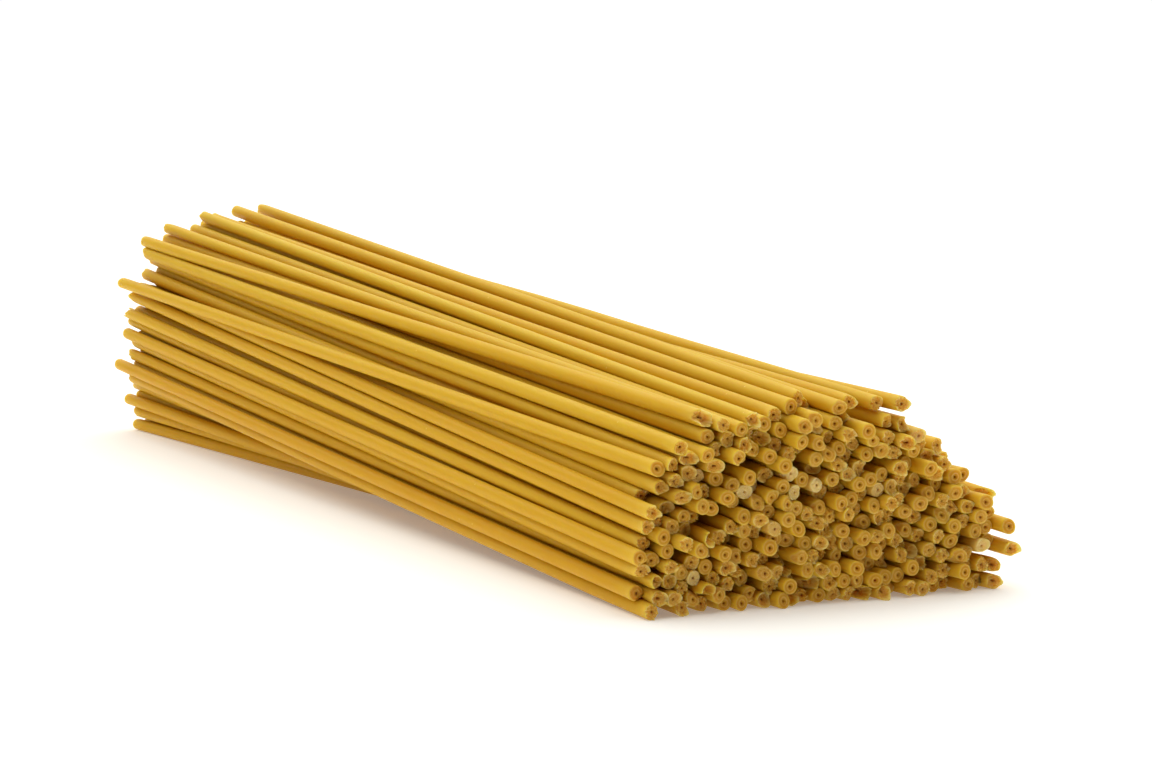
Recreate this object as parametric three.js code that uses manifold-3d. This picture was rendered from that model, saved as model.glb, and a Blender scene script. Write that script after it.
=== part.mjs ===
// A hand-sized bundle of dry bucatini lying on a flat surface: straight hollow noodles that were
// gripped, twisted a little and laid down. The end at -Y is packed into a low dome and the end
// at +Y fans out half as high again. Millimetres, +Z up, noodles along Y.
//
// Every noodle is laid out. Those that show are fused whole onto a smaller core, and of those
// inside the heap only the two ends stand out of it.
import * as THREE from "three";
import { mergeVertices } from "three/addons/utils/BufferGeometryUtils.js";
import Module from "manifold-3d";

// ---------------------------------------------------------------- driving dimensions
const STRAND_DIAMETER = 2.55;
const STRAND_LENGTH = 260;
const STRAND_COUNT = 300;
const STRAND_RADIUS = STRAND_DIAMETER / 2;

// The two end sections: domes over a flat base. middle is the height of the widest level, and
// left and right are the exponents of the curve above it: 2 is an ellipse, more is squarer.
const PACKED_END = { halfWidth: 33, height: 33.5, middle: 12, left: 2.7, right: 1.7, shift: -0.5 };
const FANNED_END = { halfWidth: 30, height: 51, middle: 20, left: 2.8, right: 1.6, shift: -6.5 };
const BASE_EXPONENT = 9;

// How far a noodle wanders between the two ends, in turns round the bundle and in radii. At the
// fanned end the noodles lie closer together outside than inside: the power of their radius share.
const TWIST_AT_BASE = 0.1;
const TURN_SCATTER = 0.035;
const RADIUS_SCATTER = 0.1;
const FANNED_OUTWARD = 0.85;

// Noodles that lie proud of the heap or splay out of it: [x, z] at the packed end and at the
// fanned end, and how far the tip at the packed end stands back.
const PROUD_STRANDS = [
  { packed: [-31.2, STRAND_RADIUS], fanned: [-35.5, 13], setBack: -1.5 },
  { packed: [-33, 9.6], fanned: [-35.7, 22], setBack: 0 },
  { packed: [-29.4, 23.4], fanned: [-35.7, 33], setBack: 2 },
  { packed: [-21, 30.6], fanned: [-31.5, 43], setBack: 1 },
  { packed: [-3.5, 32.8], fanned: [-2.5, 49.3], setBack: 3 },
  { packed: [4.5, 32.2], fanned: [9, 40], setBack: 1 },
  { packed: [13.5, 31.6], fanned: [19, 33], setBack: -1 },
  { packed: [30.2, 15], fanned: [20.5, 29], setBack: 1 },
  { packed: [32.4, 10.8], fanned: [24, 21], setBack: -2 },
  { packed: [33, 7.2], fanned: [25, 14], setBack: -3 },
  { packed: [29.6, STRAND_RADIUS], fanned: [24.5, STRAND_RADIUS], setBack: 0 },
  { packed: [-11, STRAND_RADIUS], fanned: [-34.5, 5.2], setBack: 0 },
  { packed: [-6, STRAND_RADIUS], fanned: [-32, STRAND_RADIUS], setBack: 0 },
];

// Tips: every noodle lies a little forward or back, and some have lost a piece of one end.
const SLIDE_ALONG = 3.2;
const SNAPPED_SHARE = 0.16;
const SNAPPED_LOSS = 7;
const CUT_SLANT = 0.45;

// Settling: sections along the noodles, and what moves them in each of three stages.
const SECTIONS = 14;
const PROUD_HOLD = 0.5;
const LOOSE_HOLD = 0.02;
const SETTLING = [
  { rounds: 300, push: 0.5, straighten: 0.5, hold: 1, fall: 0.012 },
  { rounds: 150, push: 0.6, straighten: 0.12, hold: 0.1, fall: 0.004 },
  { rounds: 100, push: 0.7, straighten: 0.04, hold: 0, fall: 0 },
];

// The core inside the heap: where it starts and stops behind the tips, and its facets. Its two
// end faces reach out to the outermost noodles, and behind a short slope it lies deeper.
const CORE_BEHIND_PACKED_TIPS = 15;
const CORE_BEHIND_FANNED_TIPS = 24;
const CORE_SLOPE = 6;
const FACE_DEPTH = 0.15 * STRAND_DIAMETER;
const LAYER_DEPTH = 0.7 * STRAND_DIAMETER;
const CORE_SIDES = 14;
const CORE_SIGHT = 1.3 * STRAND_DIAMETER;
const UNDERSIDE_SLOPE = 0.5;

// A noodle shows where none lies this far outside it, within this distance to either side.
const COVER_DEPTH = 0.2 * STRAND_DIAMETER;
const COVER_SIGHT = 0.78 * STRAND_DIAMETER;

// Facets of a noodle: one that shows along its length, and the ends of one inside the heap.
const STRAND_SIDES = 5;
const STUB_SIDES = 4;
const FACETED_RADIUS = 0.97 * STRAND_RADIUS;

const GOLDEN_SHARE = (Math.sqrt(5) - 1) / 2;
const SEED = 20;

// ---------------------------------------------------------------- layout of the noodles

// A repeatable stream of numbers between 0 and 1.
function randomStream(seed) {
  let state = seed;
  return () => {
    state = (state * 48271) % 2147483647;
    return state / 2147483647;
  };
}

// Distance from the middle of a section to its outline, in the direction of angle.
function outlineRadius(section, angle) {
  const across = Math.abs(Math.cos(angle)) / section.halfWidth;
  const isBase = Math.sin(angle) < 0;
  const tall = isBase ? section.middle : section.height - section.middle;
  const up = Math.abs(Math.sin(angle)) / tall;
  const side = Math.cos(angle) < 0 ? section.left : section.right;
  const exponent = isBase ? BASE_EXPONENT : side;
  return (across ** exponent + up ** exponent) ** (-1 / exponent);
}

// Running share of the section's area, going round it once from straight down.
const AREA_STEPS = 720;
function areaShares(section) {
  const shares = [0];
  for (let step = 0; step < AREA_STEPS; step += 1) {
    const angle = -Math.PI / 2 + ((step + 0.5) / AREA_STEPS) * 2 * Math.PI;
    shares.push(shares[step] + outlineRadius(section, angle) ** 2);
  }
  return shares.map((share) => share / shares[AREA_STEPS]);
}

// The angle by which a given share of the area has been passed.
function angleAtShare(shares, share) {
  const wrapped = ((share % 1) + 1) % 1;
  let step = 0;
  while (shares[step + 1] < wrapped) step += 1;
  const part = (wrapped - shares[step]) / (shares[step + 1] - shares[step]);
  return -Math.PI / 2 + ((step + part) / AREA_STEPS) * 2 * Math.PI;
}

// A centre inside a section, from a share of its area and a share of its radius.
function placeIn(section, shares, turn, radiusShare) {
  const angle = angleAtShare(shares, turn);
  const radius = radiusShare * (outlineRadius(section, angle) - STRAND_RADIUS);
  const x = section.shift + radius * Math.cos(angle);
  const z = Math.max(STRAND_RADIUS, section.middle + radius * Math.sin(angle));
  return [x, z];
}

// Spreads the loose noodles evenly over both sections, and gives each its two end places.
function endPlaces(random) {
  const packedShares = areaShares(PACKED_END);
  const fannedShares = areaShares(FANNED_END);
  const places = PROUD_STRANDS.map(({ packed, fanned }) => ({ packed, fanned, hold: PROUD_HOLD }));
  const looseCount = STRAND_COUNT - places.length;
  for (let i = 0; i < looseCount; i += 1) {
    const radiusShare = Math.sqrt((i + 0.5) / looseCount);
    const turn = (i + 0.5) * GOLDEN_SHARE;
    const packed = placeIn(PACKED_END, packedShares, turn, radiusShare);
    const low = 1 - packed[1] / PACKED_END.height;
    const scattered = radiusShare + (random() - 0.5) * RADIUS_SCATTER;
    const twisted = turn - TWIST_AT_BASE * low + (random() - 0.5) * TURN_SCATTER;
    const fannedRadius = Math.min(1, Math.max(0, scattered)) ** FANNED_OUTWARD;
    const fanned = placeIn(FANNED_END, fannedShares, twisted, fannedRadius);
    places.push({ packed, fanned, hold: LOOSE_HOLD });
  }
  return places;
}

// A value between two ends at section k.
function alongLine(start, end, k) {
  return start + ((end - start) * k) / (SECTIONS - 1);
}

// Moves overlapping noodles apart in every section.
function pushApart(strands, push) {
  for (let k = 0; k < SECTIONS; k += 1) {
    const moves = strands.map(() => [0, 0]);
    for (let i = 0; i < strands.length; i += 1) {
      for (let j = i + 1; j < strands.length; j += 1) {
        const dx = strands[j].x[k] - strands[i].x[k];
        const dz = strands[j].z[k] - strands[i].z[k];
        const distance = Math.sqrt(dx * dx + dz * dz);
        if (distance >= STRAND_DIAMETER) continue;
        const share = ((STRAND_DIAMETER - distance) / distance) * 0.5 * push;
        moves[i][0] -= dx * share;
        moves[i][1] -= dz * share;
        moves[j][0] += dx * share;
        moves[j][1] += dz * share;
      }
    }
    strands.forEach((strand, i) => {
      strand.x[k] += moves[i][0];
      strand.z[k] += moves[i][1];
    });
  }
}

// Mean and slope of a row of values, one for each section.
function fitLine(values) {
  let mean = 0;
  let slope = 0;
  let spread = 0;
  values.forEach((value, k) => {
    const t = k - (SECTIONS - 1) / 2;
    mean += value / SECTIONS;
    slope += t * value;
    spread += t * t;
  });
  return { mean, slope: slope / spread };
}

// Straightens every noodle, draws it to its place and lets it down onto the surface.
function settleEach(strands, stage) {
  for (const strand of strands) {
    const fitX = fitLine(strand.x);
    const fitZ = fitLine(strand.z);
    const draw = strand.hold * stage.hold;
    for (let k = 0; k < SECTIONS; k += 1) {
      const t = k - (SECTIONS - 1) / 2;
      let x = strand.x[k];
      let z = strand.z[k];
      x += (fitX.mean + fitX.slope * t - x) * stage.straighten;
      z += (fitZ.mean + fitZ.slope * t - z) * stage.straighten;
      x += (alongLine(strand.packed[0], strand.fanned[0], k) - x) * draw;
      z += (alongLine(strand.packed[1], strand.fanned[1], k) - z) * draw - stage.fall;
      strand.x[k] = x;
      strand.z[k] = Math.max(STRAND_RADIUS, z);
    }
  }
}

// Where a noodle starts and ends along Y, and how its two tips are cut.
function addTips(strand, setBack, random) {
  const slide = (random() + random() - 1) * SLIDE_ALONG;
  const snapped = random() < SNAPPED_SHARE;
  const loss = random() * SNAPPED_LOSS;
  const fromPackedEnd = random() < 0.5;
  const last = SECTIONS - 1;
  const leanX = (strand.x[last] - strand.x[0]) / STRAND_LENGTH;
  const leanZ = (strand.z[last] - strand.z[0]) / STRAND_LENGTH;
  const run = STRAND_LENGTH / Math.sqrt(1 + leanX * leanX + leanZ * leanZ);
  const start = -STRAND_LENGTH / 2 + (setBack === null ? slide : setBack);
  const isProud = setBack !== null;
  strand.start = start + (snapped && fromPackedEnd && !isProud ? loss : 0);
  strand.end = start + run - (snapped && !fromPackedEnd && !isProud ? loss : 0);
  strand.slants = [0, 1].map(() => {
    const steepness = CUT_SLANT * random() * (snapped ? 2 : 1);
    const heading = 2 * Math.PI * random();
    return { x: steepness * Math.cos(heading), z: steepness * Math.sin(heading) };
  });
}

// All noodles at rest: x and z of the centre at each section, and the tips.
function layStrands() {
  const random = randomStream(SEED);
  const strands = endPlaces(random);
  for (const strand of strands) {
    const sections = [...Array(SECTIONS).keys()];
    strand.x = sections.map((k) => alongLine(strand.packed[0], strand.fanned[0], k));
    strand.z = sections.map((k) => alongLine(strand.packed[1], strand.fanned[1], k));
  }
  for (const stage of SETTLING) {
    for (let round = 0; round < stage.rounds; round += 1) {
      pushApart(strands, stage.push);
      settleEach(strands, stage);
    }
  }
  strands.forEach((strand, i) => {
    const isProud = i < PROUD_STRANDS.length;
    addTips(strand, isProud ? PROUD_STRANDS[i].setBack : null, random);
  });
  return strands;
}

// The centre of a noodle at a place along Y, carried on straight past the last sections.
function centreAt(strand, y) {
  const along = ((y + STRAND_LENGTH / 2) / STRAND_LENGTH) * (SECTIONS - 1);
  const k = Math.min(SECTIONS - 2, Math.max(0, Math.floor(along)));
  const part = along - k;
  return {
    x: strand.x[k] + (strand.x[k + 1] - strand.x[k]) * part,
    z: strand.z[k] + (strand.z[k + 1] - strand.z[k]) * part,
  };
}

// ---------------------------------------------------------------- the core

const CORE_START = -STRAND_LENGTH / 2 + CORE_BEHIND_PACKED_TIPS;
const CORE_END = STRAND_LENGTH / 2 - CORE_BEHIND_FANNED_TIPS;
const CORE_RINGS = [
  { y: CORE_START, depth: FACE_DEPTH },
  { y: CORE_START + CORE_SLOPE, depth: LAYER_DEPTH },
  { y: (CORE_START + CORE_END) / 2, depth: LAYER_DEPTH },
  { y: CORE_END - CORE_SLOPE, depth: LAYER_DEPTH },
  { y: CORE_END, depth: FACE_DEPTH },
];

// The middle of the heap at a place along Y.
function heapMiddle(y) {
  const share = (y + STRAND_LENGTH / 2) / STRAND_LENGTH;
  return {
    x: PACKED_END.shift + (FANNED_END.shift - PACKED_END.shift) * share,
    z: PACKED_END.middle + (FANNED_END.middle - PACKED_END.middle) * share,
  };
}

// How far out the outermost noodle in one direction lies, looking a little to either side.
function outermost(strands, y, angle, sight) {
  const middle = heapMiddle(y);
  let farthest = 0;
  for (const strand of strands) {
    const centre = centreAt(strand, y);
    const dx = centre.x - middle.x;
    const dz = centre.z - middle.z;
    const ahead = dx * Math.cos(angle) + dz * Math.sin(angle);
    const aside = Math.abs(dz * Math.cos(angle) - dx * Math.sin(angle));
    if (ahead > 0 && aside < sight) farthest = Math.max(farthest, ahead);
  }
  return farthest;
}

// How far the core reaches in one direction: below the outermost noodle at the sides and on
// top, and underneath down to the surface that the heap lies on.
function coreReach(strands, ring, angle) {
  const down = -Math.sin(angle);
  const toSurface = down > 0 ? heapMiddle(ring.y).z / down : Infinity;
  if (down > UNDERSIDE_SLOPE) return toSurface;
  return Math.min(outermost(strands, ring.y, angle, CORE_SIGHT) - ring.depth, toSurface);
}

function coreGeometry(strands) {
  const slices = CORE_RINGS.length - 1;
  const geometry = new THREE.CylinderGeometry(1, 1, slices, CORE_SIDES, slices);
  const position = geometry.getAttribute("position");
  for (let i = 0; i < position.count; i += 1) {
    const ring = CORE_RINGS[Math.round(position.getY(i) + slices / 2)];
    const middle = heapMiddle(ring.y);
    const angle = Math.atan2(position.getZ(i), position.getX(i));
    const isRim = Math.hypot(position.getX(i), position.getZ(i)) > 0.5;
    const reach = isRim ? coreReach(strands, ring, angle) : 0;
    const x = middle.x + reach * Math.cos(angle);
    const z = middle.z + reach * Math.sin(angle);
    position.setXYZ(i, x, ring.y, Math.max(0, z));
  }
  return geometry;
}

// ---------------------------------------------------------------- noodles and the heap

// A regular polygon with a flat side at the top.
function polygonShape(sides, radius) {
  const corners = [...Array(sides).keys()].map((corner) => {
    const angle = Math.PI / 2 + ((corner + 0.5) * 2 * Math.PI) / sides;
    return new THREE.Vector2(radius * Math.cos(angle), radius * Math.sin(angle));
  });
  return new THREE.Shape(corners);
}

// One stretch of a noodle as a straight prism, with its tips cut at a slant. An end without a
// slant is square: it stands on the core.
function strandGeometry(strand, { from, to, sides, slants }) {
  const shape = polygonShape(sides, FACETED_RADIUS);
  const prism = new THREE.ExtrudeGeometry(shape, { depth: 1, steps: 1, bevelEnabled: false });
  prism.rotateX(-Math.PI / 2);
  const first = centreAt(strand, from);
  const last = centreAt(strand, to);
  const position = prism.getAttribute("position");
  for (let i = 0; i < position.count; i += 1) {
    const dx = position.getX(i);
    const dz = position.getZ(i);
    const slant = slants[Math.round(position.getY(i))];
    const skew = slant ? slant.x * dx + slant.z * dz : 0;
    const share = position.getY(i) + skew / (to - from);
    const x = first.x + (last.x - first.x) * share + dx;
    const z = first.z + (last.z - first.z) * share + dz;
    position.setXYZ(i, x, from + (to - from) * share, z);
  }
  return prism;
}

// Whether a noodle shows on the top or the sides of the heap, or leaves the core underneath.
function shows(strand, strands) {
  return CORE_RINGS.some(({ y }) => {
    const middle = heapMiddle(y);
    const centre = centreAt(strand, y);
    const angle = Math.atan2(centre.z - middle.z, centre.x - middle.x);
    const distance = Math.hypot(centre.x - middle.x, centre.z - middle.z);
    const isUnder = Math.sin(angle) < -UNDERSIDE_SLOPE;
    return !isUnder && distance > outermost(strands, y, angle, COVER_SIGHT) - COVER_DEPTH;
  });
}

// The stretches of a noodle that are modelled: all of it, or its two ends, which stand on the
// end faces of the core.
function stretchesOf(strand, strands) {
  const { start, end, slants } = strand;
  if (shows(strand, strands)) {
    return [{ from: start, to: end, sides: STRAND_SIDES, slants }];
  }
  return [
    { from: start, to: CORE_START, sides: STUB_SIDES, slants: [slants[0], null] },
    { from: CORE_END, to: end, sides: STUB_SIDES, slants: [null, slants[1]] },
  ];
}

const wasm = await Module();
wasm.setup();

function toSolid(geometry) {
  geometry.deleteAttribute("normal");
  geometry.deleteAttribute("uv");
  const merged = mergeVertices(geometry, 1e-4);
  const mesh = new wasm.Mesh({
    numProp: 3,
    vertProperties: new Float32Array(merged.getAttribute("position").array),
    triVerts: new Uint32Array(merged.index.array),
  });
  return new wasm.Manifold(mesh);
}

function toGeometry(solid) {
  const mesh = solid.getMesh();
  const geometry = new THREE.BufferGeometry();
  geometry.setAttribute("position", new THREE.BufferAttribute(mesh.vertProperties, mesh.numProp));
  geometry.setIndex(new THREE.BufferAttribute(mesh.triVerts, 1));
  geometry.computeVertexNormals();
  return geometry;
}

// The core and every noodle joined into one body, without any scrap that touches nothing.
function heapGeometry(strands) {
  const core = toSolid(coreGeometry(strands));
  const pieces = strands.flatMap((strand) =>
    stretchesOf(strand, strands).map((stretch) => toSolid(strandGeometry(strand, stretch))),
  );
  const bodies = wasm.Manifold.union([core, ...pieces]).decompose();
  const volumes = bodies.map((body) => body.volume());
  return toGeometry(bodies[volumes.indexOf(Math.max(...volumes))]);
}

// What moves the heap so that it is centred over the origin, measured on the centre lines.
function centring(strands) {
  const xs = strands.flatMap((strand) => strand.x);
  const starts = strands.map((strand) => strand.start);
  const ends = strands.map((strand) => strand.end);
  const x = -(Math.min(...xs) + Math.max(...xs)) / 2;
  const y = -(Math.min(...starts) + Math.max(...ends)) / 2;
  return new THREE.Vector3(x, y, 0);
}

const pastaMaterial = new THREE.MeshStandardMaterial({
  color: 0xd9a93c,
  roughness: 0.5,
  metalness: 0,
});

const strands = layStrands();
const bundle = new THREE.Group();
const bucatini = new THREE.Mesh(heapGeometry(strands), pastaMaterial);
bucatini.name = "bucatini_bundle";
bucatini.position.copy(centring(strands));
bundle.add(bucatini);

export default bundle;
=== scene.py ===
"""The looks of a hand-sized bundle of dry bucatini lying on a pale surface.

Every noodle is a hollow tube of its own, from one end of the heap to the other, and lies where
the solid model has it. The ends are cut, chipped, jagged or snapped, as dry pasta breaks. Lengths
are in millimetres, as on the object, and MM turns them into metres where a mesh, light or camera
is made.
"""
import math
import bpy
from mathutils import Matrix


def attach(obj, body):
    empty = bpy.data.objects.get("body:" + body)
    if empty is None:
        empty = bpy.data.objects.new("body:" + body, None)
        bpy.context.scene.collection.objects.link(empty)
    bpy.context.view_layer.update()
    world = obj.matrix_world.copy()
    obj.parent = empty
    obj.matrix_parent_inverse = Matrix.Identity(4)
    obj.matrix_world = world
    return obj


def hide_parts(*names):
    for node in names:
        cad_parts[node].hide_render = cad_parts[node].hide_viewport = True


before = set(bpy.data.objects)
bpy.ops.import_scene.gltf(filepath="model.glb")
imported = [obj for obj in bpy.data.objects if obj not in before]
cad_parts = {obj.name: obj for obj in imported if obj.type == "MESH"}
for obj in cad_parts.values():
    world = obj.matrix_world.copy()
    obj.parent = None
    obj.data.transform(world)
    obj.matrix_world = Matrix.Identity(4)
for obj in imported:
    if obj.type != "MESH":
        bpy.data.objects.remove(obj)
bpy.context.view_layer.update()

from types import SimpleNamespace

import bpy
import numpy as np

MM = 0.001

# ---------------------------------------------------------------- driving dimensions
STRAND_DIAMETER = 2.55
STRAND_LENGTH = 260
STRAND_COUNT = 300
STRAND_RADIUS = STRAND_DIAMETER / 2

# The two end sections: domes over a flat base. middle is the height of the widest level, and left
# and right are the exponents of the curve above it: 2 is an ellipse, more is squarer.
PACKED_END = SimpleNamespace(half_width=33, height=33.5, middle=12, left=2.7, right=1.7, shift=-0.5)
FANNED_END = SimpleNamespace(half_width=30, height=51, middle=20, left=2.8, right=1.6, shift=-6.5)
BASE_EXPONENT = 9

# How far a noodle wanders between the two ends, in turns round the bundle and in radii. At the
# fanned end the noodles lie closer together outside than inside: the power of their radius share.
TWIST_AT_BASE = 0.1
TURN_SCATTER = 0.035
RADIUS_SCATTER = 0.1
FANNED_OUTWARD = 0.85

# Noodles that lie proud of the heap or splay out of it: (x, z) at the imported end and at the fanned
# end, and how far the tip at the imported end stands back.
PROUD_STRANDS = [
    ((-31.2, STRAND_RADIUS), (-35.5, 13), -1.5),
    ((-33, 9.6), (-35.7, 22), 0),
    ((-29.4, 23.4), (-35.7, 33), 2),
    ((-21, 30.6), (-31.5, 43), 1),
    ((-3.5, 32.8), (-2.5, 49.3), 3),
    ((4.5, 32.2), (9, 40), 1),
    ((13.5, 31.6), (19, 33), -1),
    ((30.2, 15), (20.5, 29), 1),
    ((32.4, 10.8), (24, 21), -2),
    ((33, 7.2), (25, 14), -3),
    ((29.6, STRAND_RADIUS), (24.5, STRAND_RADIUS), 0),
    ((-11, STRAND_RADIUS), (-34.5, 5.2), 0),
    ((-6, STRAND_RADIUS), (-32, STRAND_RADIUS), 0),
]

# Tips: every noodle lies a little forward or back, and some have lost a piece of one end. A
# snapped noodle is cut at twice the slant of the others.
SLIDE_ALONG = 3.2
SNAPPED_SHARE = 0.16
SNAPPED_LOSS = 7
CUT_SLANT = 0.25
SNAPPED_SLANT = 2

# Settling: sections along the noodles, and what moves them in each of three stages.
SECTIONS = 14
PROUD_HOLD = 0.5
LOOSE_HOLD = 0.02
SETTLING = [
    SimpleNamespace(rounds=300, push=0.5, straighten=0.5, hold=1, fall=0.012),
    SimpleNamespace(rounds=150, push=0.6, straighten=0.12, hold=0.1, fall=0.004),
    SimpleNamespace(rounds=100, push=0.7, straighten=0.04, hold=0, fall=0),
]

GOLDEN_SHARE = (math.sqrt(5) - 1) / 2
AREA_STEPS = 720
LAYOUT_SEED = 20
STREAM_FACTOR = 48271
STREAM_MODULUS = 2**31 - 1


# ---------------------------------------------------------------- layout of the noodles
def random_stream(seed):
    """A repeatable stream of numbers between 0 and 1."""
    state = seed
    while True:
        state = state * STREAM_FACTOR % STREAM_MODULUS
        yield state / STREAM_MODULUS


def draw_table(stream, rows, columns):
    """The next numbers of a stream, row by row."""
    numbers = [next(stream) for _ in range(rows * columns)]
    return np.array(numbers).reshape(rows, columns)


def outline_radius(section, angle):
    """Distance from the middle of a section to its outline, in the direction of angle."""
    is_base = np.sin(angle) < 0
    tall = np.where(is_base, section.middle, section.height - section.middle)
    side = np.where(np.cos(angle) < 0, section.left, section.right)
    exponent = np.where(is_base, BASE_EXPONENT, side)
    across = np.abs(np.cos(angle)) / section.half_width
    up = np.abs(np.sin(angle)) / tall
    return (across**exponent + up**exponent) ** (-1 / exponent)


def angle_at_share(section, share):
    """The angle by which a share of the section's area has been passed, from straight down."""
    edges = -math.pi / 2 + np.arange(AREA_STEPS + 1) / AREA_STEPS * 2 * math.pi
    middles = edges[:-1] + math.pi / AREA_STEPS
    passed = np.concatenate([[0], np.cumsum(outline_radius(section, middles) ** 2)])
    return np.interp(share % 1, passed / passed[-1], edges)


def place_in(section, turn, radius_share):
    """Centres inside a section, from a share of its area and a share of its radius."""
    angle = angle_at_share(section, turn)
    radius = radius_share * (outline_radius(section, angle) - STRAND_RADIUS)
    x = section.shift + radius * np.cos(angle)
    z = np.maximum(STRAND_RADIUS, section.middle + radius * np.sin(angle))
    return np.stack([x, z], axis=1)


def end_places(stream):
    """Spreads the loose noodles evenly over both sections: (x, z) of every noodle at its ends."""
    loose_count = STRAND_COUNT - len(PROUD_STRANDS)
    number = np.arange(loose_count) + 0.5
    draws = draw_table(stream, loose_count, 2) - 0.5
    radius_share = np.sqrt(number / loose_count)
    turn = number * GOLDEN_SHARE
    packed = place_in(PACKED_END, turn, radius_share)
    low = 1 - packed[:, 1] / PACKED_END.height
    scattered = np.clip(radius_share + draws[:, 0] * RADIUS_SCATTER, 0, 1) ** FANNED_OUTWARD
    twisted = turn - TWIST_AT_BASE * low + draws[:, 1] * TURN_SCATTER
    fanned = place_in(FANNED_END, twisted, scattered)
    proud_packed = np.array([place for place, _, _ in PROUD_STRANDS])
    proud_fanned = np.array([place for _, place, _ in PROUD_STRANDS])
    return np.concatenate([proud_packed, packed]), np.concatenate([proud_fanned, fanned])


def push_apart(x, z, push):
    """Moves overlapping noodles apart in every section, each of a pair by half."""
    for k in range(SECTIONS):
        dx = x[k] - x[k][:, None]
        dz = z[k] - z[k][:, None]
        distance = np.sqrt(dx * dx + dz * dz)
        np.fill_diagonal(distance, np.inf)
        share = np.maximum(STRAND_DIAMETER / distance - 1, 0) * 0.5 * push
        x[k] -= np.einsum("ij,ij->i", dx, share)
        z[k] -= np.einsum("ij,ij->i", dz, share)


def straightened(values, amount):
    """Draws each column of values, one for each section, towards its best straight line."""
    t = np.arange(SECTIONS)[:, None] - (SECTIONS - 1) / 2
    slope = (t * values).sum(axis=0) / (t * t).sum()
    return values + (values.mean(axis=0) + slope * t - values) * amount


def settle(packed, fanned):
    """x and z of every noodle's centre at each section, at rest."""
    part = np.arange(SECTIONS)[:, None] / (SECTIONS - 1)
    line_x = packed[:, 0] + (fanned[:, 0] - packed[:, 0]) * part
    line_z = packed[:, 1] + (fanned[:, 1] - packed[:, 1]) * part
    x = line_x.copy()
    z = line_z.copy()
    hold = np.full(STRAND_COUNT, LOOSE_HOLD)
    hold[: len(PROUD_STRANDS)] = PROUD_HOLD
    for stage in SETTLING:
        for _ in range(stage.rounds):
            push_apart(x, z, stage.push)
            x = straightened(x, stage.straighten)
            z = straightened(z, stage.straighten)
            x += (line_x - x) * hold * stage.hold
            z += (line_z - z) * hold * stage.hold - stage.fall
            z = np.maximum(STRAND_RADIUS, z)
    return x, z


def lay_strands():
    """All noodles at rest: their centre lines, where they start and end, and how they are cut."""
    stream = random_stream(LAYOUT_SEED)
    x, z = settle(*end_places(stream))
    draws = draw_table(stream, STRAND_COUNT, 9)
    forward, back, snap, lost, which_end = draws[:, :5].T
    steepness = draws[:, [5, 7]]
    heading = 2 * math.pi * draws[:, [6, 8]]

    snapped = snap < SNAPPED_SHARE
    at_packed_end = which_end < 0.5
    loss = np.where(snapped, lost * SNAPPED_LOSS, 0)
    slide = (forward + back - 1) * SLIDE_ALONG
    proud = len(PROUD_STRANDS)
    loss[:proud] = 0
    slide[:proud] = [set_back for _, _, set_back in PROUD_STRANDS]
    lean_x = (x[-1] - x[0]) / STRAND_LENGTH
    lean_z = (z[-1] - z[0]) / STRAND_LENGTH
    run = STRAND_LENGTH / np.sqrt(1 + lean_x**2 + lean_z**2)
    start = slide - STRAND_LENGTH / 2
    end = start + run - np.where(at_packed_end, 0, loss)
    start = start + np.where(at_packed_end, loss, 0)
    steepness = CUT_SLANT * steepness * np.where(snapped, SNAPPED_SLANT, 1)[:, None]
    return SimpleNamespace(
        x=x,
        z=z,
        start=start,
        end=end,
        snapped=snapped,
        slant_x=steepness * np.cos(heading),
        slant_z=steepness * np.sin(heading),
    )


def centre_at(x, z, y):
    """Centres at places y, noodles along the first axis, carried on straight past the ends."""
    along = (y / STRAND_LENGTH + 0.5) * (SECTIONS - 1)
    k = np.clip(np.floor(along), 0, SECTIONS - 2).astype(int)
    part = along - k
    noodle = np.arange(x.shape[1]).reshape(-1, *[1] * (y.ndim - 1))
    centre_x = x[k, noodle] * (1 - part) + x[k + 1, noodle] * part
    centre_z = z[k, noodle] * (1 - part) + z[k + 1, noodle] * part
    return centre_x, centre_z


def centring(strands):
    """What moves the heap so that it is centred over the origin, as the solid model is."""
    x = -(strands.x.min() + strands.x.max()) / 2
    y = -(strands.start.min() + strands.end.max()) / 2
    return np.array([x, y, 0])


# ---------------------------------------------------------------- ends of the noodles

# Kinds of noodle by how their ends broke. share is the part of the heap that is of this kind, and
# the snapped ones have none because the layout says which they are. Then in mm: how ragged the rim
# is, how high the points of the crown are, how deep a chip is, how long a splinter is and how much
# of the wall has broken away. chalk is how pale and chalky the break looks, from 0 to 1.
KINDS = {
    "square_cut": dict(share=0.22, ragged=0.1, crown=0.1, chip=0.3, splinter=0.0, shell=0.0, chalk=0.0),
    "chipped": dict(share=0.28, ragged=0.3, crown=0.4, chip=1.8, splinter=0.4, shell=0.0, chalk=0.05),
    "jagged": dict(share=0.31, ragged=0.9, crown=1.8, chip=0.6, splinter=0.4, shell=0.0, chalk=0.15),
    "hollowed": dict(share=0.15, ragged=0.8, crown=1.0, chip=0.4, splinter=0.4, shell=3.0, chalk=0.15),
    "chalky": dict(share=0.04, ragged=0.4, crown=0.9, chip=0.8, splinter=0.2, shell=0.0, chalk=0.95),
    "snapped": dict(share=0.0, ragged=0.8, crown=1.6, chip=0.6, splinter=0.8, shell=1.0, chalk=0.15),
}

# The seed of every break. It isn't a chance one: it was picked by a search of 19,999 seeds for
# chalky ends that lie near to where six of them lie on the object.
SHAPE_SEED = 17432

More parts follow.
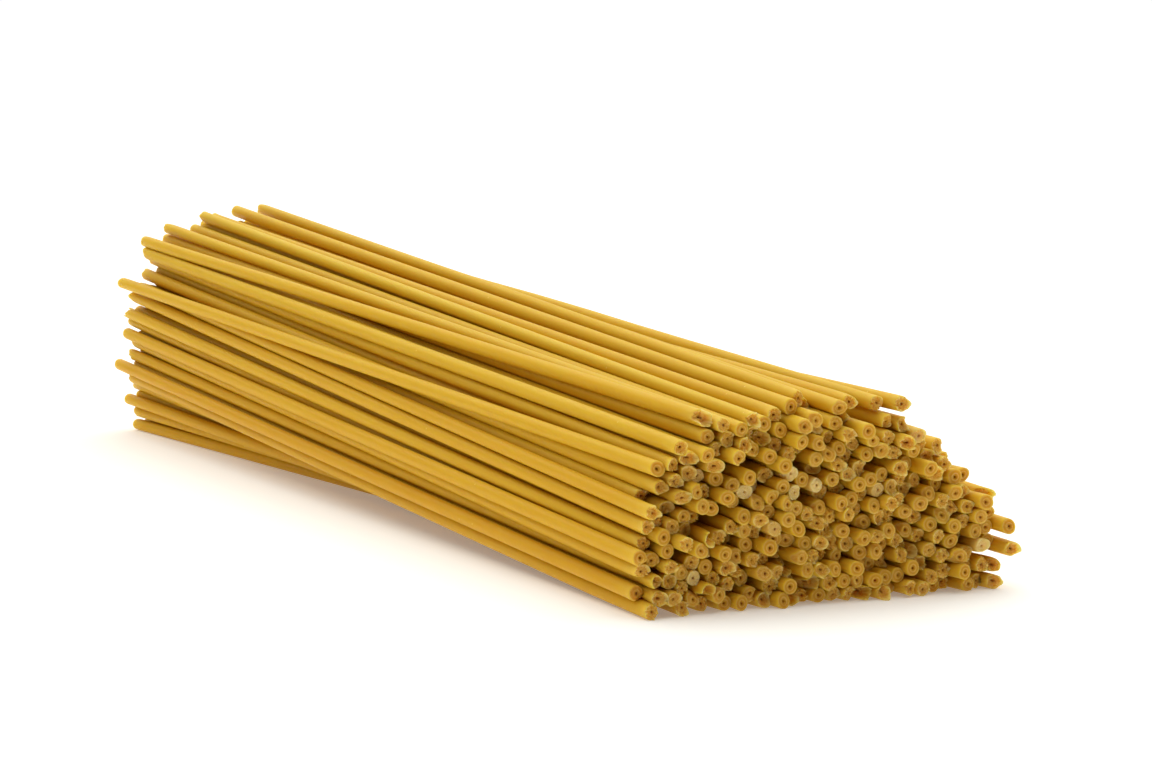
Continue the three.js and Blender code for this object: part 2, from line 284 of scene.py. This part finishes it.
# Rings of an end, from the wall over the rim and the face into the bore: how deep each lies behind the
# tip, in mm, its share of the radius, and its tint: 1 pale, 0 tan, -1 dark. The dark of the bore and
# round its mouth is painted shade, and the pale rim is partly a painted highlight. The face has a
# raised pale ring halfway in.
BORE_SHARE = 0.14
END_RINGS = [
    (12, 1, 0),
    (5, 1, 0),
    (2, 1, 0),
    (0.7, 1, 0),
    (0.12, 1, 0.2),
    (0, 0.93, 0.3),
    (0.04, 0.78, 0.1),
    (0.05, 0.6, 0),
    (0, 0.5, 0.35),
    (0, 0.43, 0.3),
    (0.05, 0.34, 0),
    (0.07, 0.21, -0.2),
    (0.3, BORE_SHARE, -1),
    (4, BORE_SHARE, -1),
    (12, BORE_SHARE, -1),
]

# Facets round a noodle, and rings of its wall and of its bore between the two ends. Rings less than
# FACE_DEPTH mm behind the tip are the face.
SIDES = 24
WALL_RINGS = 11
BORE_RINGS = 3
FACE_DEPTH = 0.1

# How much of its kind's measure a tip shows, drawn between two shares. A share below 0 is none.
RAGGED_SPAN = (0.2, 1)
CROWN_SPAN = (0.3, 1)
CHIP_SPAN = (-0.4, 1)
SPLINTER_SPAN = (0.2, 1)
SHELL_SPAN = (-0.5, 1)

# Chips and splinters face one side: the higher the power, the narrower they are. The wall of a
# shell is missing on the side that faces beyond a level, with a short step between.
CHIP_POWER = (4, 20)
SPLINTER_POWER = (0.5, 1.2)
SHELL_LEVEL = (0.4, 0.9)
SHELL_STEP = 0.12

# A crown's points, the power that makes deep notches more common than shallow ones, and how deep
# the floor of the break lies inside a crown and inside a shell, as shares of their heights. From
# the middle out to RIM_FROM of the radius a break is its floor, and RIM_STEP further out its rim.
CROWN_POINTS = 8
CROWN_POWER = 0.6
CROWN_FLOOR = 1
SHELL_FLOOR = 0.7
RIM_FROM = 0.45
RIM_STEP = 0.5

# How uneven a face is, in mm. From a crown of FACETED_CROWN mm on, the faces of a kind are shaded as
# facets. Where crown and shell reach RUIN_HEIGHT mm, nothing is left of the plain face's tint: the
# points are painted pale as a glint, with some noise, and lean out, all of which fades within
# POINT_DEPTH mm.
FACE_GRAIN = 0.03
FACETED_CROWN = 0.6
RUIN_HEIGHT = 0.8
POINT_LEAN = 0.4
POINT_DEPTH = 0.8
CREST_NOISE = 0.2

# How far a noodle is from a true tube: spans of its radius and of how oval it is, how far it is
# pinched at a tip and how far down that reaches in mm, and how far in mm the bore and the face
# inside BORE_ZONE of the radius lie off centre.
RADIUS_SPAN = (0.95, 1.02)
OVAL_SPAN = (0, 0.03)
PINCH = 0.07
PINCH_DEPTH = 2
OFF_CENTRE_SPAN = (0, 0.13)
BORE_ZONE = 0.7
BORE_ZONE_STEP = 0.4

# How far behind the tip, in mm, the break stops moving the wall, and how fast the chalk and the light
# that comes in through the end fade. The tone rises by TOP_LIGHT_TONE from the bottom of the heap to
# its top: painted light, yellower on top where the light from above falls. Every noodle has its own
# place in the noise, up to GRAIN_SPREAD mm away.
FADE_DEPTH = 14
CHALK_DEPTH = 1.2
CHALK_SPAN = (0.5, 1)
GLOW_DEPTH = 2.5
TOP_LIGHT_TONE = 7
GRAIN_SPREAD = 1000


def smooth_step(value):
    """From 0 to 1, level at both."""
    value = np.clip(value, 0, 1)
    return value * value * (3 - 2 * value)


def ring_profile():
    """The closed profile of a noodle, ring by ring: end (0 packed, 1 fanned, or -1 between them), depth
    behind that end in mm, share of the way along, share of the radius, tint, with painted shade in the
    bore and a painted highlight at the rim."""
    fanned = [(1, depth, 1, radius, tint) for depth, radius, tint in END_RINGS]
    packed = [(0, depth, 0, radius, tint) for depth, radius, tint in reversed(END_RINGS)]
    wall = [(-1, 0, (i + 1) / (WALL_RINGS + 1), 1, 0) for i in range(WALL_RINGS)]
    # The bore's rings get the darkest tint, painted shade.
    bore = [(-1, 0, 1 - (i + 1) / (BORE_RINGS + 1), BORE_SHARE, -1) for i in range(BORE_RINGS)]
    columns = np.array(fanned + bore + packed + wall, dtype=float).T
    return SimpleNamespace(**dict(zip(("end", "depth", "along", "radius", "tint"), columns)))


def by_ring(values):
    """Values of the profile, one for each ring, as 1 x rings x 1."""
    return values[None, :, None]


def fading(profile, reach):
    """1 at the tip, and less behind it: 1 x rings x 1."""
    return by_ring(np.exp(-profile.depth / reach))


def crown_notches(random, count):
    """Straight slopes between random depths round each tip, from 0 at the highest point to 1 in
    the deepest notch: noodles x 1 x sides."""
    depths = random.uniform(0, 1, (count, 1, CROWN_POINTS)) ** CROWN_POWER
    turn = (np.arange(SIDES) + 0.5) / SIDES * CROWN_POINTS
    low = np.floor(turn).astype(int)
    part = turn - low
    return depths[..., low] * (1 - part) + depths[..., (low + 1) % CROWN_POINTS] * part


def broken_end(kind, random, count, profile, angle):
    """What a break does to a tip, as noodles x rings x sides: back, how far it stands back from a
    plain cut in mm, widen, by how much the points lean out, and tint."""

    def draw(low, high):
        return random.uniform(low, high, (count, 1, 1))

    def facing(power):
        """1 on one random side of each tip, 0 on the other."""
        return ((1 + np.cos(angle - draw(0, 2 * math.pi))) / 2) ** power

    radius_share = by_ring(profile.radius)
    to_rim = smooth_step((radius_share - RIM_FROM) / RIM_STEP)
    grain = random.normal(0, FACE_GRAIN, (count, len(profile.radius), SIDES)) * (radius_share < 1)
    roughness = random.uniform(0, 1, (count, 1, SIDES))
    ragged = kind["ragged"] * roughness * draw(*RAGGED_SPAN) * to_rim
    notches = crown_notches(random, count)
    crown_height = kind["crown"] * draw(*CROWN_SPAN)
    crown = crown_height * (notches * to_rim + CROWN_FLOOR * (1 - to_rim))
    chip = kind["chip"] * draw(*CHIP_SPAN).clip(0) * facing(draw(*CHIP_POWER)) * to_rim
    splinter = kind["splinter"] * draw(*SPLINTER_SPAN) * facing(draw(*SPLINTER_POWER))
    missing = smooth_step((facing(1) - draw(*SHELL_LEVEL)) / SHELL_STEP)
    shell_height = kind["shell"] * draw(*SHELL_SPAN).clip(0)
    shell = shell_height * np.maximum(missing, SHELL_FLOOR * (1 - to_rim))
    back = grain + ragged + crown + chip + splinter + shell

    ruin = smooth_step((crown_height + shell_height) / RUIN_HEIGHT)
    near_tip = fading(profile, POINT_DEPTH)
    widen = 1 + POINT_LEAN * ruin * (0.5 - notches) * near_tip
    tint = by_ring(profile.tint)
    # Painted glint: the highest points of a break are painted pale where they would catch the light.
    crest_glint = ((1 - notches) * to_rim + random.normal(0, CREST_NOISE, back.shape)) * near_tip
    tint = np.where(tint < 0, tint, tint + (crest_glint - tint) * ruin)
    return SimpleNamespace(back=back, widen=widen, tint=tint)


# ---------------------------------------------------------------- meshes
def noodle_tubes(kind, strands, members, random, profile):
    """The noodles of one kind, as noodles x rings x sides: dx and dz from their centre lines, y,
    tint, and their points."""
    count = len(members)
    angle = (np.arange(SIDES) / SIDES * 2 * math.pi)[None, None, :]
    radius_share = by_ring(profile.radius)

    def draw(low, high):
        return random.uniform(low, high, (count, 1, 1))

    oval = 1 + draw(*OVAL_SPAN) * np.cos(2 * angle + draw(0, 2 * math.pi))
    radius = STRAND_RADIUS * draw(*RADIUS_SPAN) * radius_share * oval
    off_centre = smooth_step((BORE_ZONE - radius_share) / BORE_ZONE_STEP) * draw(*OFF_CENTRE_SPAN)
    off_heading = draw(0, 2 * math.pi)
    dx = radius * np.cos(angle) + off_centre * np.cos(off_heading)
    dz = radius * np.sin(angle) + off_centre * np.sin(off_heading)

    start = strands.start[members, None, None]
    end = strands.end[members, None, None]
    y = start + (end - start) * by_ring(profile.along) * np.ones_like(angle)
    tint = by_ring(profile.tint) * np.ones_like(y)
    moved_share = by_ring(smooth_step(1 - profile.depth / FADE_DEPTH))
    for which, inward in ((0, 1), (1, -1)):
        at_end = by_ring(profile.end == which)
        tip = broken_end(kind, random, count, profile, angle)
        pinch = draw(-PINCH, PINCH) * np.cos(2 * angle + draw(0, 2 * math.pi))
        pinch = 1 + pinch * fading(profile, PINCH_DEPTH)
        dx = np.where(at_end, dx * pinch * tip.widen, dx)
        dz = np.where(at_end, dz * pinch * tip.widen, dz)
        tint = np.where(at_end, tip.tint, tint)
        slant = strands.slant_x[members, which, None, None] * dx
        slant = slant + strands.slant_z[members, which, None, None] * dz
        depth = by_ring(profile.depth) + tip.back * moved_share
        y = np.where(at_end, y + slant * moved_share + inward * depth, y)

    centre_x, centre_z = centre_at(strands.x[:, members], strands.z[:, members], y)
    points = np.stack([centre_x + dx, y, centre_z + dz], axis=-1)
    points[..., 2] = np.maximum(points[..., 2], 0)
    return SimpleNamespace(dx=dx, dz=dz, y=y, tint=tint, points=points)


def tube_mesh(name, points, smooth):
    """A mesh of closed rings of quads: points is noodles x rings x sides x 3, in mm."""
    count, rings, sides, _ = points.shape
    first = np.arange(count)[:, None, None] * rings * sides
    ring = np.arange(rings)[None, :, None]
    side = np.arange(sides)[None, None, :]
    next_ring = (ring + 1) % rings
    next_side = (side + 1) % sides
    corners = [
        first + ring * sides + side,
        first + next_ring * sides + side,
        first + next_ring * sides + next_side,
        first + ring * sides + next_side,
    ]
    quads = np.stack(np.broadcast_arrays(*corners), axis=-1).reshape(-1, 4)
    mesh = bpy.data.meshes.new(name)
    mesh.vertices.add(count * rings * sides)
    mesh.vertices.foreach_set("co", (points * MM).astype(np.float32).ravel())
    mesh.loops.add(quads.size)
    mesh.loops.foreach_set("vertex_index", quads.astype(np.int32).ravel())
    mesh.polygons.add(len(quads))
    mesh.polygons.foreach_set("loop_start", np.arange(0, quads.size, 4, dtype=np.int32))
    is_smooth = np.broadcast_to(smooth[None, :, None], (count, rings, sides))
    mesh.polygons.foreach_set("use_smooth", is_smooth.ravel())
    mesh.update(calc_edges=True)
    mesh.validate()
    return mesh


def add_attribute(mesh, name, values):
    """Stores a number or a vector for every vertex of the mesh."""
    is_vector = values.ndim == 4
    attribute = mesh.attributes.new(name, "FLOAT_VECTOR" if is_vector else "FLOAT", "POINT")
    field = "vector" if is_vector else "value"
    attribute.data.foreach_set(field, values.astype(np.float32).ravel())


def add_looks(mesh, tubes, kind, height_share, random, profile, on_face):
    """Gives the mesh what its material reads: the place in the noise, the tone of each noodle with the
    painted light that makes the top of the heap yellower, the tint with its painted shade and glints,
    where it is cut, how chalky it is and how much light comes in through the end."""
    count = len(tubes.points)
    spread = np.ones_like(tubes.y)
    grain = np.stack([tubes.dx * spread, tubes.dz * spread, tubes.y], axis=-1)
    grain = grain + random.uniform(0, GRAIN_SPREAD, (count, 1, 1, 3))
    add_attribute(mesh, "grain", grain)
    own_tone = random.normal(0, 1, (count, 1, 1))
    # Painted light: the tone rises towards the top of the heap, yellower where the light from above
    # falls, added to each noodle's own random tone.
    tone_and_top_light = TOP_LIGHT_TONE * (height_share[:, None, None] - 0.5) + own_tone
    add_attribute(mesh, "tone_and_top_light", tone_and_top_light * spread)
    add_attribute(mesh, "tint", tubes.tint)
    add_attribute(mesh, "cut", by_ring(on_face) * spread)

    at_tips = by_ring(profile.end >= 0) * spread
    chalk = kind["chalk"] * random.uniform(*CHALK_SPAN, (count, 1, 1))
    add_attribute(mesh, "chalk", chalk * fading(profile, CHALK_DEPTH) * at_tips)
    is_wall = by_ring(profile.radius == 1)
    add_attribute(mesh, "glow", fading(profile, GLOW_DEPTH) * at_tips * is_wall)


def noodle_piece(name, kind, strands, members, random, material):
    """One piece: all noodles of one kind as hollow tubes."""
    profile = ring_profile()
    on_face = (profile.end >= 0) & (profile.depth < FACE_DEPTH)
    is_smooth = ~(on_face & np.roll(on_face, -1)) | (kind["crown"] < FACETED_CROWN)
    height_share = strands.z[:, members].mean(axis=0) / strands.z.max()
    tubes = noodle_tubes(kind, strands, members, random, profile)
    mesh = tube_mesh(name, tubes.points + strands.centring, is_smooth)
    add_looks(mesh, tubes, kind, height_share, random, profile, on_face)
    mesh.materials.append(material)

    piece = bpy.data.objects.new(name, mesh)
    bpy.context.scene.collection.objects.link(piece)
    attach(piece, "root")
    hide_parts("bucatini_bundle")


def kind_of_each(strands, random):
    """The name of each noodle's kind."""
    names = [name for name in KINDS if name != "snapped"]
    shares = [KINDS[name]["share"] for name in names]
    kinds = random.choice(names, STRAND_COUNT, p=shares)
    return np.where(strands.snapped, "snapped", kinds)


# ---------------------------------------------------------------- material
AMBER = (0.65, 0.335, 0.009, 1)
GOLD = (0.68, 0.38, 0.013, 1)
CREAM = (0.71, 0.45, 0.024, 1)
TIP = (0.80, 0.51, 0.045, 1)
CUT_TAN = (0.64, 0.33, 0.028, 1)
# The pale rims and rings of a face; at the rim and on the points of a break the paleness is a painted
# glint.
PALE_RIM_AND_GLINT = (0.92, 0.64, 0.22, 1)
# Painted shade: the bore and the mouth round it are painted darker than the dough.
PAINTED_BORE_SHADE = (0.45, 0.20, 0.015, 1)
CHALK = (0.95, 0.66, 0.27, 1)
SPECK = (0.88, 0.66, 0.16, 1)

# Noise on a noodle's own coordinates: how fine, with how many layers, and stretched along it.
STREAKS = SimpleNamespace(scale=1.4, detail=3, stretch=50)
CLOUDS = SimpleNamespace(scale=0.4, detail=2, stretch=6)
GRIT = SimpleNamespace(scale=6.0, detail=3, stretch=1)
RIPPLES = SimpleNamespace(scale=1.2, detail=2, stretch=12)
NOISE_ROUGHNESS = 0.55

# What moves the wall's colour from amber, at level 0, over gold to cream, at level 1.
# The tone's share carries each noodle's own tone and the painted light that makes the top of the heap
# yellower.
TONE_AND_TOP_LIGHT_SHARE = 0.1
STREAK_SHARE = 0.3
CLOUD_SHARE = 0.35
GLOW_SHARE = 0.8

# Specks: cells per mm, from which part of a cell to which they fade out, and how strong they are.
SPECK_CELLS = 0.25
SPECK_EDGE = (0.03, 0.05)
SPECK_SHARE = 0.6

# Dough lets light in and scatters it below the surface, red farthest.
DOUGH = {
    "Subsurface Weight": 0.9,
    "Subsurface Radius": (1.0, 0.88, 0.45),
    "Subsurface Scale": 2.2 * MM,
    "IOR": 1.45,
    "Specular IOR Level": 0.12,
}

# Roughness from smooth to gritty places, what a cut adds to it, and the relief of the surface.
SATIN_ROUGHNESS = (0.42, 0.54)
GRIT_RANGE = (0.3, 0.7)
CUT_ROUGHNESS = -0.08
GRIT_RELIEF = 0.35
RELIEF = {"Strength": 0.25, "Distance": 0.06 * MM}


def set_inputs(node, values):
    """Sets sockets of a node by name."""
    for name, value in values.items():
        node.inputs[name].default_value = value


def add_node(tree, kind, inputs, **settings):
    """Adds a node. Each input is a number, a colour or the socket that feeds it."""
    node = tree.nodes.new(kind)
    for name, value in settings.items():
        setattr(node, name, value)
    for name, value in inputs.items():
        if isinstance(value, bpy.types.NodeSocket):
            tree.links.new(value, node.inputs[name])
        else:
            node.inputs[name].default_value = value
    return node


def attribute(tree, name):
    """What the mesh stores under a name."""
    node = add_node(tree, "ShaderNodeAttribute", {}, attribute_name=name)
    return node.outputs["Vector" if name == "grain" else "Fac"]


def math_node(tree, operation, *values):
    """A calculation with two or three values."""
    return add_node(tree, "ShaderNodeMath", dict(enumerate(values)), operation=operation).outputs[0]


def mix_colour(tree, factor, first, second):
    """A colour between two: the node's sockets 6 and 7, and its output 2, are its colours."""
    inputs = {0: factor, 6: first, 7: second}
    node = add_node(tree, "ShaderNodeMix", inputs, data_type="RGBA", clamp_factor=True)
    return node.outputs[2]


def noise(tree, vector, pattern):
    """Noise of a pattern, from 0 to 1."""
    scale = (1, 1, 1 / pattern.stretch)
    mapping = add_node(tree, "ShaderNodeMapping", {"Vector": vector, "Scale": scale})
    inputs = {
        "Vector": mapping.outputs[0],
        "Scale": pattern.scale,
        "Detail": pattern.detail,
        "Roughness": NOISE_ROUGHNESS,
    }
    return add_node(tree, "ShaderNodeTexNoise", inputs).outputs["Fac"]


def remap(tree, value, low, high, to_low, to_high):
    """A value between low and high, as one between to_low and to_high."""
    inputs = {
        "Value": value,
        "From Min": low,
        "From Max": high,
        "To Min": to_low,
        "To Max": to_high,
    }
    return add_node(tree, "ShaderNodeMapRange", inputs, clamp=True).outputs[0]


def wall_colour(tree, grain):
    """Gold with faint streaks, clouds and specks, a little different from noodle to noodle, with
    painted light that makes it yellower on top of the heap, and lighter near the tips, where light
    comes in through the end."""
    streaks = math_node(tree, "SUBTRACT", noise(tree, grain, STREAKS), 0.5)
    clouds = math_node(tree, "SUBTRACT", noise(tree, grain, CLOUDS), 0.5)
    level = math_node(tree, "MULTIPLY_ADD", attribute(tree, "tone_and_top_light"), TONE_AND_TOP_LIGHT_SHARE, 0.5)
    level = math_node(tree, "MULTIPLY_ADD", streaks, STREAK_SHARE, level)
    level = math_node(tree, "MULTIPLY_ADD", clouds, CLOUD_SHARE, level)
    colour = mix_colour(tree, remap(tree, level, 0.0, 0.5, 0, 1), AMBER, GOLD)
    colour = mix_colour(tree, remap(tree, level, 0.5, 1.0, 0, 1), colour, CREAM)
    glow = remap(tree, attribute(tree, "glow"), 0, 1, 0, GLOW_SHARE)
    colour = mix_colour(tree, glow, colour, TIP)
    cells = add_node(tree, "ShaderNodeTexVoronoi", {"Vector": grain, "Scale": SPECK_CELLS})
    specks = remap(tree, cells.outputs["Distance"], *SPECK_EDGE, SPECK_SHARE, 0)
    return mix_colour(tree, specks, colour, SPECK)


def surface_colour(tree, grain, cut):
    """The wall's colour, and on a break tan or paler by its tint, with a painted glint on rims and the
    points of a break, and dark in the bore, which is painted shade.
    """
    tint = attribute(tree, "tint")
    # Pale rims and points of a break carry a painted glint.
    face = mix_colour(tree, remap(tree, tint, 0, 1, 0, 1), CUT_TAN, PALE_RIM_AND_GLINT)
    colour = mix_colour(tree, cut, wall_colour(tree, grain), face)
    # Painted shade in the bore.
    colour = mix_colour(tree, remap(tree, tint, -1, 0, 1, 0), colour, PAINTED_BORE_SHADE)
    return mix_colour(tree, attribute(tree, "chalk"), colour, CHALK)


def pasta_material():
    """Dried semolina dough: translucent gold with faint streaks, tan and granular where broken."""
    material = bpy.data.materials.new("dry_pasta")
    material.use_nodes = True
    tree = material.node_tree
    shader = tree.nodes["Principled BSDF"]
    set_inputs(shader, DOUGH)

    grain = attribute(tree, "grain")
    cut = attribute(tree, "cut")
    tree.links.new(surface_colour(tree, grain, cut), shader.inputs["Base Color"])

    grit = noise(tree, grain, GRIT)
    satin = remap(tree, grit, *GRIT_RANGE, *SATIN_ROUGHNESS)
    roughness = math_node(tree, "MULTIPLY_ADD", cut, CUT_ROUGHNESS, satin)
    tree.links.new(roughness, shader.inputs["Roughness"])
    relief = math_node(tree, "MULTIPLY_ADD", grit, GRIT_RELIEF, noise(tree, grain, RIPPLES))
    bump = add_node(tree, "ShaderNodeBump", {"Height": relief, **RELIEF})
    tree.links.new(bump.outputs[0], shader.inputs["Normal"])
    return material


# ---------------------------------------------------------------- stage, light and camera

# The floor glows a little, so that it stays white out to the horizon. Its radius is in metres.
FLOOR_RADIUS = 6
FLOOR_SIDES = 96
FLOOR_LOOK = {
    "Base Color": (0.97, 0.97, 0.97, 1),
    "Roughness": 0.8,
    "Emission Color": (1, 1, 1, 1),
    "Emission Strength": 0.17,
}

# One very soft light from above, behind and a little to the right, in a pale room that lights the
# near end least and is seen as a plain white backdrop. Angles are in degrees.
KEY_STRENGTH = 2.05
KEY_COLOUR = (1.0, 1.0, 0.93)
KEY_ANGLE = 95
KEY_TILT = (-20, 9)
ROOM_ABOVE = (0.82, 0.82, 0.78, 1)
ROOM_SIDES = (0.33, 0.285, 0.24, 1)
ROOM_NEAR = (0.08, 0.06, 0.045, 1)
BACKDROP = (1.02, 1.02, 1.02, 1)

# Where the room changes, as parts of a direction of length 1: from its sides up to above, and
# from the near end's side to the rest.
ROOM_RISE = (0, 0.6)
ROOM_REACH = (-0.8, 0.2)

# The camera in the heap's own frame before centring: its place in mm, and in degrees how far it
# looks down and to the right of +Y.
CAMERA_PLACE = (-253.45, -573.2, 94.4)
CAMERA_PITCH = 6.58
CAMERA_HEADING = 25.2
CAMERA_LENS = 100
SENSOR_WIDTH = 36


def add_floor():
    bpy.ops.mesh.primitive_circle_add(vertices=FLOOR_SIDES, radius=FLOOR_RADIUS, fill_type="NGON")
    floor = bpy.context.object
    floor.name = "floor"
    material = bpy.data.materials.new("pale_floor")
    material.use_nodes = True
    set_inputs(material.node_tree.nodes["Principled BSDF"], FLOOR_LOOK)
    floor.data.materials.append(material)


def add_light():
    light = bpy.data.lights.new("key", "SUN")
    light.energy = KEY_STRENGTH
    light.color = KEY_COLOUR
    light.angle = math.radians(KEY_ANGLE)
    key = bpy.data.objects.new("key", light)
    key.rotation_euler = (math.radians(KEY_TILT[0]), math.radians(KEY_TILT[1]), 0)
    bpy.context.scene.collection.objects.link(key)


def add_room():
    world = bpy.data.worlds.new("studio")
    world.use_nodes = True
    tree = world.node_tree
    direction = add_node(tree, "ShaderNodeTexCoord", {}).outputs["Generated"]
    parts = add_node(tree, "ShaderNodeSeparateXYZ", {0: direction})
    up = remap(tree, parts.outputs["Z"], *ROOM_RISE, 0, 1)
    room = mix_colour(tree, up, ROOM_SIDES, ROOM_ABOVE)
    away = remap(tree, parts.outputs["Y"], *ROOM_REACH, 0, 1)
    room = mix_colour(tree, away, ROOM_NEAR, room)
    seen = add_node(tree, "ShaderNodeLightPath", {}).outputs["Is Camera Ray"]
    tree.links.new(mix_colour(tree, seen, room, BACKDROP), tree.nodes["Background"].inputs["Color"])
    bpy.context.scene.world = world


def add_camera(shift):
    camera_data = bpy.data.cameras.new("camera")
    camera_data.lens = CAMERA_LENS
    camera_data.sensor_width = SENSOR_WIDTH
    camera = bpy.data.objects.new("camera", camera_data)
    camera.location = (np.array(CAMERA_PLACE) + shift) * MM
    camera.rotation_euler = (math.radians(90 - CAMERA_PITCH), 0, math.radians(-CAMERA_HEADING))
    bpy.context.scene.collection.objects.link(camera)
    bpy.context.scene.camera = camera


strands = lay_strands()
strands.centring = centring(strands)
add_camera(strands.centring)
add_floor()
add_light()
add_room()
bpy.context.scene.view_settings.view_transform = "Standard"

shape_random = np.random.RandomState(SHAPE_SEED)
kinds = kind_of_each(strands, shape_random)
pasta = pasta_material()
for kind_name, kind in KINDS.items():
    members = np.flatnonzero(kinds == kind_name)
    noodle_piece(f"{kind_name}_noodles", kind, strands, members, shape_random, pasta)
